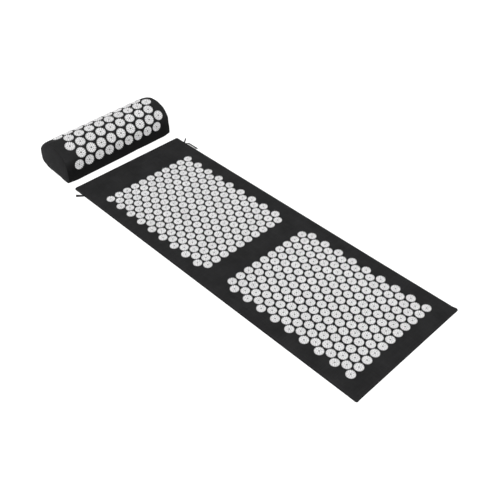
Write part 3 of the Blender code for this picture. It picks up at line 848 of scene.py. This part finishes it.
def stitch_rows(name, edge, length, heights, body):
    """Stitches along an edge, at one or more heights from it, each a short raised thread."""
    bm = bmesh.new()
    for step in range(int(length/stitch_pitch)):
        spot, outward = edge((step+0.5)*stitch_pitch)
        turn = Matrix((outward, Vector((-outward.y, outward.x, 0)), Vector((0, 0, 1)))).transposed().to_4x4()
        size = Matrix.Diagonal((stitch_radius, stitch_length/2, stitch_radius, 1.0))
        for height in heights:
            place = Matrix.Translation(spot+Vector((0, 0, height))) @ turn @ size
            bmesh.ops.create_icosphere(bm, subdivisions=1, radius=1.0, matrix=place)
    return add_piece(name, bm, stitch_thread, body)


mat_zip_length = (2*(mat_half_width-corner_radius)+math.pi*corner_radius
                  + 2*(mat_half_length-corner_radius)-zip_left_end-zip_right_end)
mat_coils = zip_coils("mat_zip_coils", head_edge, mat_zip_length, "mat")
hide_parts("mat_zip_chain")
stitch_rows("mat_zip_stitches", head_edge, mat_zip_length, (-stitch_offset, stitch_offset), "mat")


# Hem stitches of the mat's top cover
# One row of black stitches right round the top cover, just inside its edge. It holds the seam
# and the zip's tape flat and draws a shallow line into the cloth.
def hem_line(distance):
    """A point of the hem's line, counted round the mat from its right side, and the way out."""
    reach_x = mat_half_width-hem_inset
    reach_y = mat_half_length-hem_inset
    corner = Vector((reach_x, -reach_y, mat_thickness-hem_dip))
    outward = Vector((1, 0, 0))
    for length in (2*reach_y, 2*reach_x, 2*reach_y, 2*reach_x):
        along = Vector((-outward.y, outward.x, 0))
        if distance <= length:
            break
        distance -= length
        corner += along*length
        outward = along
    return pulled_corner(corner+along*distance), outward


hem_length = 4*(mat_half_width+mat_half_length-2*hem_inset)
stitch_rows("mat_hem_stitches", hem_line, hem_length, (0.0,), "mat")


# Sliders and pull tabs of the mat's zip
# Black lacquered zinc castings, one at each end of the zip, their edges rounded in the mould
# and rubbed by the hand. Each flat pull tab swings on the pin between its slider's lugs.
casting_edge = 0.00018
sharp_angle = math.radians(40)
weld_distance = 0.00001
tab_fullness = 0.0012
casting_colour = (0.008, 0.008, 0.009, 1.0)
casting_worn_colour = (0.024, 0.024, 0.025, 1.0)
black_casting = worn_material("zip_casting_finish", casting_colour, casting_worn_colour,
                              roughness=0.55, specular=0.25, grain=0.0030)


def rounded_casting(name, node, body, fullness=0.0):
    """The CAD node's casting, its sharp edges rounded and its faces moved out by a fullness."""
    bm = bmesh.new()
    bm.from_mesh(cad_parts[node].data)
    bmesh.ops.remove_doubles(bm, verts=bm.verts, dist=weld_distance)
    bmesh.ops.dissolve_limit(bm, angle_limit=math.radians(2), verts=bm.verts, edges=bm.edges)
    sharp = [edge for edge in bm.edges if edge.calc_face_angle(0.0) > sharp_angle]
    bmesh.ops.bevel(bm, geom=sharp, offset=casting_edge, affect='EDGES', segments=2, profile=0.5, material=-1,
                    clamp_overlap=True)
    bmesh.ops.triangulate(bm, faces=[face for face in bm.faces if len(face.verts) > 4])
    bm.normal_update()
    for vert in bm.verts:
        vert.co += vert.normal*fullness
    piece = add_piece(name, bm, black_casting, body, flat_angle=math.radians(50))
    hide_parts(node)


for side in ("left", "right"):
    rounded_casting(f"mat_slider_casting_{side}", f"mat_zip_slider_{side}", f"mat_slider_{side}")
    rounded_casting(f"mat_pull_tab_{side}", f"mat_zip_pull_{side}", f"mat_pull_{side}", tab_fullness)


# Side label
# A black satin ribbon with a plain pale woven band, folded once and sewn into the right seam
# by its two ends. It lies out over the floor beside the zip.
ribbon_thickness = 0.0003
ribbon_gap = 0.0004
ribbon_bands = 24
pale_band_shares = (0.02, 0.54)
pale_band_start = 0.0015
pale_band_end = 0.0085
ribbon_colour = (0.006, 0.006, 0.0065, 1.0)
ribbon_pale_colour = (0.95, 0.95, 0.94, 1.0)
low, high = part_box("mat_side_label")
label_reach = high.x-mat_half_width
label_width = high.y-low.y


def label_middle(share):
    """The label's middle line at a share of its reach, from the seam down to the floor."""
    rest = low.z+ribbon_thickness+ribbon_gap/2
    drop = 0.5-0.5*math.cos(math.pi*share)
    out = mat_half_width-seam_gap+share*(label_reach-ribbon_gap)
    return Vector((out, seam_height+(rest-seam_height)*drop))


bm = bmesh.new()
bmesh.ops.create_grid(bm, x_segments=2*ribbon_bands, y_segments=6, size=1.0)
lay_out(bm, lambda spot: ((spot.x+1)*label_reach, (spot.y+1)*label_width/2))
for vert in bm.verts:
    along = vert.co.x
    share = 1-abs(along)
    middle = label_middle(share)
    tangent = (label_middle(min(share+0.01, 1.0))-label_middle(max(share-0.01, 0.0))).normalized()
    spread = (ribbon_gap+ribbon_thickness)/2*math.copysign(min(1.0, abs(along)*ribbon_bands/2), -along)
    offset = Vector((-tangent.y, tangent.x))*spread
    vert.co = Vector((middle.x+offset.x, low.y+(vert.co.y+1)/2*label_width, middle.y+offset.y))
bmesh.ops.solidify(bm, geom=bm.faces[:], thickness=ribbon_thickness/2)

black_ribbon, tree, shader = plain_material("black_ribbon_finish", roughness=0.55, specular=0.4)
cut = add_node(tree, "UVMap", {}, uv_map="cut").outputs["UV"]
woven = group_node(tree, weave, {"Cut": cut, "Threads": 1/tape_thread})
parts = add_node(tree, "SeparateXYZ", {0: cut}).outputs


def inside(tree, value, start, end):
    """1 where a value lies between two limits."""
    above = sum_up(tree, 'GREATER_THAN', value, start)
    return sum_up(tree, 'MULTIPLY', above, sum_up(tree, 'LESS_THAN', value, end))


across = inside(tree, parts["Y"], pale_band_start, label_width-pale_band_end)
along = inside(tree, parts["X"], label_reach*pale_band_shares[0], label_reach*pale_band_shares[1])
band = sum_up(tree, 'MULTIPLY', across, along)
# The ribbon's raised threads are lighter and the hollows between them darker: painted shade of the weave.
dark = mix_colour(tree, woven["Height"], ribbon_colour, tape_colour)
fill(tree, shader["Base Color"], mix_colour(tree, band, dark, ribbon_pale_colour))
raise_surface(tree, shader, woven["Height"], tape_thread/6)
label = add_piece("side_label_ribbon", bm, black_ribbon, "mat")
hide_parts("mat_side_label")


# Pillow's foam core
# A half-round block of soft grey foam, flat underneath, with its two ends cut a little
# crowned. The cover is pulled over it and closed with the zip at the back.
low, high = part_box("pillow_base_cover")
pillow_turn = math.radians(1.0)
pillow_stand = (Matrix.Translation(((low.x+high.x)/2, (low.y+high.y)/2, 0.0))
                @ Matrix.Rotation(pillow_turn, 4, 'Z'))
pillow_seam_x = 0.235
left_foot_reach = 0.0050
left_foot_lean = 0.0055
left_end_reach = 0.0078
left_foot_height = 0.035
pillow_depth = 0.163
pillow_height = 0.1265
pillow_side_height = 0.0737
arch_roundness = 1.87
arch_samples = 240
front_spread = 0.0050
bottom_round = 0.002
front_end_round = 0.011
back_end_round = 0.026
end_crown = 0.011
end_fullness = 2.4
end_draw_length = 0.020
end_draw_share = 0.985
end_centre_share = 0.45
end_rings = 8
seam_pinch = 0.0018
seam_pinch_width = 0.003
pillow_cell = 0.006
pillow_zip_rise = 0.0150
pillow_zip_half = 0.207
pillow_disc_radius = 0.0195
pillow_disc_pitch = 0.0458
pillow_row_pitch = 0.0395
pillow_rows = 7
pillow_row_discs = 9
front_foot_height = 0.0410
strip_bulge_share = 0.30
core_inset = 0.0026


def arch_line():
    """The pillow's arch from the front foot to the back foot, as (distance, y, z)."""
    half = pillow_depth/2
    rise = pillow_height-pillow_side_height
    points = []
    for step in range(arch_samples):
        share = step/arch_samples
        points.append((-half-front_spread*(1-share)**2, pillow_side_height*share))
    for step in range(arch_samples+1):
        angle = math.pi*step/arch_samples
        y = -half*math.copysign(abs(math.cos(angle))**(2/arch_roundness), math.cos(angle))
        points.append((y, pillow_side_height+rise*abs(math.sin(angle))**(2/arch_roundness)))
    points.append((half, 0.0))
    walked = 0.0
    line = [(walked, *points[0])]
    for here, there in zip(points, points[1:]):
        walked += math.dist(here, there)
        line.append((walked, *there))
    return line


arch = arch_line()
arch_length = arch[-1][0]


def arch_at(distance):
    """The arch's point (y, z) at a distance along it."""
    for (start, y0, z0), (end, y1, z1) in zip(arch, arch[1:]):
        if distance <= end or end == arch_length:
            share = (distance-start)/max(end-start, 1e-9)
            return Vector((y0+(y1-y0)*share, z0+(z1-z0)*share))


def strip_at(distance):
    """The cover's section at a distance: nearly flat under each row of discs."""
    smooth = arch_at(distance)
    row = math.floor((distance-front_foot_height)/pillow_row_pitch)
    if not 0 <= row < pillow_rows:
        return smooth
    start = front_foot_height+row*pillow_row_pitch
    flat = arch_at(start).lerp(arch_at(start+pillow_row_pitch), (distance-start)/pillow_row_pitch)
    return flat.lerp(smooth, strip_bulge_share)


def pillow_loop():
    """Distances round the section: over the arch, past the zip, and back under the base."""
    zip_top = arch_length-pillow_zip_rise-zip_window
    steps = round(zip_top/pillow_cell)
    stops = [zip_top*step/steps for step in range(steps+1)]
    stops += [arch_length-pillow_zip_rise, arch_length-pillow_zip_rise+zip_window, arch_length]
    base_depth = pillow_depth+front_spread
    steps = round(base_depth/pillow_cell)
    return stops+[arch_length+base_depth*step/steps for step in range(1, steps+1)]


def pillow_stations():
    """Places along the pillow from one end seam to the other, with one at each end of the zip."""
    plain_end = pillow_seam_x-seam_pinch_width
    inner = round(pillow_zip_half/pillow_cell)
    outer = round((plain_end-pillow_zip_half)/pillow_cell)
    half = [pillow_zip_half*step/inner for step in range(inner)]
    half += [pillow_zip_half+(plain_end-pillow_zip_half)*step/outer for step in range(outer+1)]
    half.append(pillow_seam_x)
    return [-x for x in half[:0:-1]]+half


def round_bottom(spot, x):
    """A section's point with the section's two bottom corners rounded, more so near the ends."""
    share = max(0.0, (abs(x)-pillow_zip_half)/(pillow_seam_x-pillow_zip_half))
    end_round = back_end_round if spot.x > 0 else front_end_round
    radius = bottom_round+(end_round-bottom_round)*share*share*(3-2*share)
    foot = pillow_depth/2-radius if spot.x > 0 else radius-pillow_depth/2-front_spread
    corner = Vector((foot, radius))
    reach = spot-corner
    if reach.x*corner.x <= 0 or reach.y >= 0:
        return spot
    return corner+reach.normalized()*max(abs(reach.x), abs(reach.y))


def end_reach(x, y, z):
    """How far a point near the pillow's left end lies beyond the even end; its foot leans forward."""
    share = max(0.0, (-x-pillow_zip_half)/(pillow_seam_x-pillow_zip_half))
    foot = left_foot_reach-left_foot_lean*y/(pillow_depth/2)
    lift = min(1.0, z/left_foot_height)
    return share*(foot+(left_end_reach-foot)*lift*lift*(3-2*lift))


def skin_point(x, distance, inset):
    """A point of the pillow's skin at a place along it and a distance round its section."""
    centre = Vector((0.0, pillow_height*end_centre_share))
    spot = strip_at(distance)
    if distance > arch_length:
        spot = Vector((pillow_depth/2-(distance-arch_length), 0.0))
    spot = round_bottom(spot, x)
    on_seam = abs(x) > pillow_seam_x-seam_gap
    spot = spot-(spot-centre).normalized()*(inset+(seam_pinch if on_seam else 0.0))
    draw = max(0.0, (abs(x)-pillow_seam_x+end_draw_length)/end_draw_length)
    spot = spot*(1-(1-end_draw_share)*draw**2*spot.y/pillow_height)
    return Vector((x*(1-inset/pillow_seam_x)-end_reach(x, *spot), spot.x, spot.y))


def pillow_shell(inset):
    """The pillow's whole skin at an inset, each face marked with its panel.

    The pillow stands square at the origin until each piece is set down in its place. Panels are
    0 for the arch, 1 for the base and its upstand, 2 and 3 for the two ends.
    """
    loop = pillow_loop()
    stations = pillow_stations()
    bm = bmesh.new()
    bmesh.ops.create_grid(bm, x_segments=len(stations)-1, y_segments=len(loop)-1, size=1.0)
    for face in bm.faces:
        row = (face.calc_center_median().y+1)/2*(len(loop)-1)
        face.material_index = 1 if loop[int(row)] >= arch_length-pillow_zip_rise-seam_gap else 0

    def flat_place(spot):
        """A grid point's place on the flat skin: along the pillow and round its section."""
        column = round((spot.x+1)/2*(len(stations)-1))
        return stations[column], loop[round((spot.y+1)/2*(len(loop)-1))]

    cut = lay_out(bm, flat_place)
    for vert in bm.verts:
        vert.co = skin_point(*flat_place(vert.co), inset)
    bmesh.ops.remove_doubles(bm, verts=bm.verts, dist=seam_gap/10)
    middle = Vector((0.0, 0.0, pillow_height*end_centre_share))
    swollen_rim = 1+seam_pinch/middle.z
    for side, panel in ((-1, 2), (1, 3)):
        rim = [edge for edge in bm.edges if edge.is_boundary and edge.verts[0].co.x*side > 0]
        seam_x = side*(pillow_seam_x-inset)
        share = 1.0
        for ring in range(1, end_rings):
            angle = 0.5*math.pi*ring/end_rings
            follow = swollen_rim*math.cos(angle)**(2/end_fullness)
            rim = next_rim(bm, rim)
            for vert in {vert for edge in rim for vert in edge.verts}:
                vert.co = middle+(vert.co-middle)*follow/share
                reach = end_reach(side*pillow_seam_x, *vert.co.yz)
                vert.co.x = seam_x-reach+side*end_crown*math.sin(angle)**(2/end_fullness)
            share = follow
            for face in {face for edge in rim for face in edge.link_faces}:
                face.material_index = panel
        cap = bmesh.ops.contextual_create(bm, geom=rim)["faces"]
        fan = bmesh.ops.poke(bm, faces=cap)
        for face in fan["faces"]:
            face.material_index = panel
        reach = end_reach(side*pillow_seam_x, *middle.yz)
        fan["verts"][0].co.x = seam_x-reach+side*end_crown
    bmesh.ops.recalc_face_normals(bm, faces=bm.faces)
    for face in bm.faces:
        if face.material_index > 1:
            for corner in face.loops:
                corner[cut].uv = corner.vert.co.yz
    return bm


core = pillow_shell(core_inset)
for face in core.faces:
    face.material_index = 0
bmesh.ops.transform(core, matrix=pillow_stand, verts=core.verts)
pillow_core = add_piece("pillow_foam_block", core, grey_foam, "pillow")
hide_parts("pillow_foam_core")


# Pillow's cover
# One long panel of black cotton over the arch, a flat base with an upstand for the zip and a
# D-shaped panel at each end, sewn inside out and turned. The discs and seams draw it in.
pillow_pressure = 3.0
pillow_slack = 0.012
pillow_most_rise = 0.0028
pillow_field_shift = 0.003
under_disc_share = 0.92
# The pillow's arch and base panels are painted darker towards the bottom, below this height: painted shade.
painted_shade_height = 0.092
low_painted_shade = 0.22
pillow_cotton = cotton_material("pillow_cotton_finish", painted_shade_height, low_painted_shade)


def pillow_disc_places():
    """Where the pillow's discs lie, z out of the cloth, row by row from the front."""
    places = []
    for row in range(pillow_rows):
        start = arch_at(front_foot_height+row*pillow_row_pitch)
        end = arch_at(front_foot_height+(row+1)*pillow_row_pitch)
        up = Vector((0, *(end-start).normalized()))
        outward = Vector((0, -up.z, up.y))
        turn = Matrix((Vector((1, 0, 0)), up, outward)).transposed().to_4x4()
        middle = (start+end)/2
        stagger = pillow_disc_pitch/4*(1 if row % 2 else -1)
        for step in range(pillow_row_discs):
            x = pillow_field_shift+stagger+(step-(pillow_row_discs-1)/2)*pillow_disc_pitch
            places.append(Matrix.Translation((x, *middle)) @ turn)
    return places


pillow_places = pillow_disc_places()
skin = pillow_shell(0.0)
skin_mesh = bpy.data.meshes.new("pillow_skin")
skin.to_mesh(skin_mesh)
skin.free()
pillow_skin = bpy.data.objects.new("pillow_skin", skin_mesh)
bpy.context.scene.collection.objects.link(pillow_skin)
turned_back = [(place, place.inverted()) for place in pillow_places]
held = []
for vert in skin_mesh.vertices:
    at_zip = vert.co.y > pillow_depth/2-seam_gap and vert.co.z < pillow_zip_rise+2*zip_window
    seam_x = math.copysign(pillow_seam_x, vert.co.x)
    on_end_seam = abs(vert.co.x+end_reach(seam_x, *vert.co.yz)-seam_x) < seam_gap
    if vert.co.z < seam_gap or at_zip or on_end_seam:
        held.append(vert.index)
    for place, back in turned_back:
        if (place.translation-vert.co).length > pillow_disc_radius:
            continue
        spot = back @ vert.co
        if spot.xy.length < pillow_disc_radius*under_disc_share:
            spot.z = 0.0
            vert.co = place @ spot
            held.append(vert.index)
swell(pillow_skin, held, pillow_pressure, pillow_slack, pillow_most_rise)
smooth_out(pillow_skin)
skin_mesh = bpy.data.meshes.new_from_object(pillow_skin.evaluated_get(bpy.context.evaluated_depsgraph_get()))
bpy.data.objects.remove(pillow_skin)


def pillow_panel(name, number, cotton, node):
    """One panel of the pillow's cover, cut out of the whole skin along its seams."""
    bm = bmesh.new()
    bm.from_mesh(skin_mesh)
    left_out = []
    for face in bm.faces:
        middle = face.calc_center_median()
        in_window = (middle.y > 0 and abs(middle.z-pillow_zip_rise) < zip_window-seam_gap/5
                     and abs(middle.x) < pillow_zip_half)
        if face.material_index != number or in_window:
            left_out.append(face)
    bmesh.ops.delete(bm, geom=left_out, context='FACES')
    for face in bm.faces:
        face.material_index = 0
    bmesh.ops.transform(bm, matrix=pillow_stand, verts=bm.verts)
    panel = add_piece(name, bm, cotton, "pillow")
    thicken(panel)
    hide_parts(node)


pillow_panel("pillow_arch_panel", 0, pillow_cotton, "pillow_top_cover")
pillow_panel("pillow_base_panel", 1, pillow_cotton, "pillow_base_cover")
pillow_panel("pillow_end_panel_left", 2, black_cotton, "pillow_end_left")
pillow_panel("pillow_end_panel_right", 3, black_cotton, "pillow_end_right")


# Seams round the pillow's ends
# Each end panel is sewn into the arch and the base inside out and turned, which leaves a thin
# line of thread down in the groove between them.
end_seam_radius = 0.0006
bm = bmesh.new()
bm.from_mesh(skin_mesh)
for number, word in ((2, "left"), (3, "right")):
    rim = set()
    for edge in bm.edges:
        panels = {face.material_index for face in edge.link_faces}
        if number in panels and len(panels) > 1:
            rim.update(edge.verts)
    centre_height = pillow_height*end_centre_share
    rim = sorted(rim, key=lambda vert: math.atan2(vert.co.z-centre_height, vert.co.y))
    thread_line(f"pillow_end_seam_{word}", [pillow_stand @ vert.co for vert in rim], end_seam_radius,
                pillow_cotton, "pillow", closed=True)
bm.free()


# Discs of the pillow
# The same moulded discs in a larger size, seven staggered rows of nine over the arch.
pillow_plate_height = 0.0019
pillow_spike_height = 0.0038
pillow_spike_width = 0.0021
pillow_hole_radius = 0.0029

pillow_disc = spiked_disc(pillow_disc_radius, pillow_plate_height, pillow_spike_height, pillow_hole_radius,
                          pillow_spike_width)
lifted = [pillow_stand @ place @ Matrix.Translation((0, 0, disc_seat)) for place in pillow_places]
pillow_field = disc_field("pillow_disc_field", pillow_disc, lifted, "pillow", 3)
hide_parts(*[f"pillow_disc_{number:02d}" for number in range(1, pillow_row_discs+1)])


# Zip of the pillow
# The same tapes, coils, slider and pull tab in a straight zip low on the back.
finish_nodes(zip_tape, "pillow_zip_upper_tape", "pillow_zip_lower_tape")


def back_edge(distance):
    """A point of the pillow's back level with its zip, counted from the zip's right end."""
    spot = Vector((pillow_zip_half-distance, pillow_depth/2, pillow_zip_rise))
    return pillow_stand @ spot, pillow_stand.to_3x3() @ Vector((0, 1, 0))


pillow_coils = zip_coils("pillow_zip_coils", back_edge, 2*pillow_zip_half, "pillow")
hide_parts("pillow_zip_chain")
stitch_rows("pillow_zip_stitches", back_edge, 2*pillow_zip_half, (-stitch_offset, stitch_offset), "pillow")
rounded_casting("pillow_slider_casting", "pillow_zip_slider", "pillow_slider")
rounded_casting("pillow_pull_tab", "pillow_zip_pull", "pillow_pull", tab_fullness)
